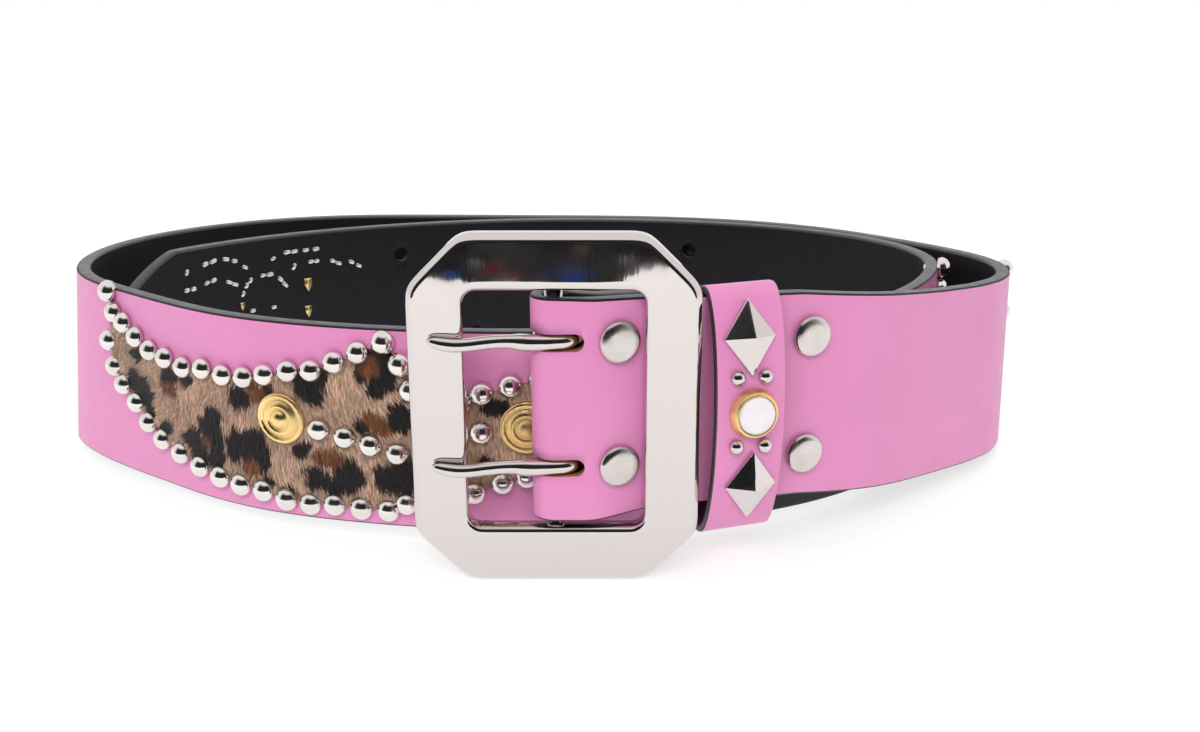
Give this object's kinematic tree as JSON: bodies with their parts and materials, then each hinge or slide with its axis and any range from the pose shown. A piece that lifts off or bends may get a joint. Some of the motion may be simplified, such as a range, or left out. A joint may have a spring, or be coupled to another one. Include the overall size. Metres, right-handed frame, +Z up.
{
  "type": "studded belt",
  "caption": "Wide leather belt lying in a coil on its lower edge, with a double-prong buckle, punched holes, a bowed keeper and rows of metal studs round hide patches.",
  "frame": {"origin": "centre of the coiled belt's footprint, on the surface it stands on", "axes": "+Z up, +X along the coil's longest side, -Y toward the buckle"},
  "size_m": [0.2776, 0.1898, 0.0815],
  "materials": {
    "pink_leather": "smooth grained leather, soft sheen",
    "black_leather": "matte black lining leather",
    "buckle_metal": "polished warm nickel",
    "stud_metal": "polished nickel domes",
    "gold_metal": "polished pale gold",
    "leopard_hide": "short hair-on hide with printed spots",
    "milky_stone": "milky polished cabochon"
  },
  "bodies": {
    "belt": {"strap_face": "pink_leather", "strap_lining": "black_leather", "buckle_frame": "buckle_metal", "keeper": "pink_leather", "diamond_high": "buckle_metal", "diamond_low": "buckle_metal", "ball_high_left": "buckle_metal", "ball_high_right": "buckle_metal", "ball_low_left": "buckle_metal", "ball_low_right": "buckle_metal", "stone_setting": "gold_metal", "keeper_stone": "milky_stone", "rivet_buckle_high": "buckle_metal", "rivet_buckle_low": "buckle_metal", "rivet_keeper_high": "buckle_metal", "rivet_keeper_low": "buckle_metal", "studs_front_arch_left": "stud_metal", "studs_front_end_high": "stud_metal", "studs_front_dip": "stud_metal", "studs_front_bottom": "stud_metal", "studs_front_middle_left": "stud_metal", "studs_front_end_low": "stud_metal", "concho_front_1": "gold_metal", "concho_front_2": "gold_metal", "concho_front_3": "gold_metal", "hide_front": "leopard_hide", "studs_back_arch_left": "stud_metal", "studs_back_arch_right": "stud_metal", "studs_back_dip": "stud_metal", "studs_back_bottom": "stud_metal", "studs_back_middle_left": "stud_metal", "studs_back_middle_right": "stud_metal", "concho_back_1": "gold_metal", "concho_back_2": "gold_metal", "concho_back_3": "gold_metal", "concho_back_4": "gold_metal", "hide_back": "leopard_hide", "studs_tip_outer_high": "stud_metal", "studs_tip_inner_high": "stud_metal", "studs_tip_inner_low": "stud_metal", "studs_tip_outer_low": "stud_metal", "concho_tip": "gold_metal"},
    "prong_high": {"prong_high": "buckle_metal"},
    "prong_low": {"prong_low": "buckle_metal"}
  },
  "joints": [
    {"name": "prong_high_hinge", "type": "hinge", "parent": "belt", "child": "prong_high", "pos_m": [0.00889, -0.08709, 0.0576], "axis": [0, 0, 1], "range_deg": [0, 90]},
    {"name": "prong_low_hinge", "type": "hinge", "parent": "belt", "child": "prong_low", "pos_m": [0.00889, -0.08709, 0.0284], "axis": [0, 0, 1], "range_deg": [0, 90]}
  ]
}
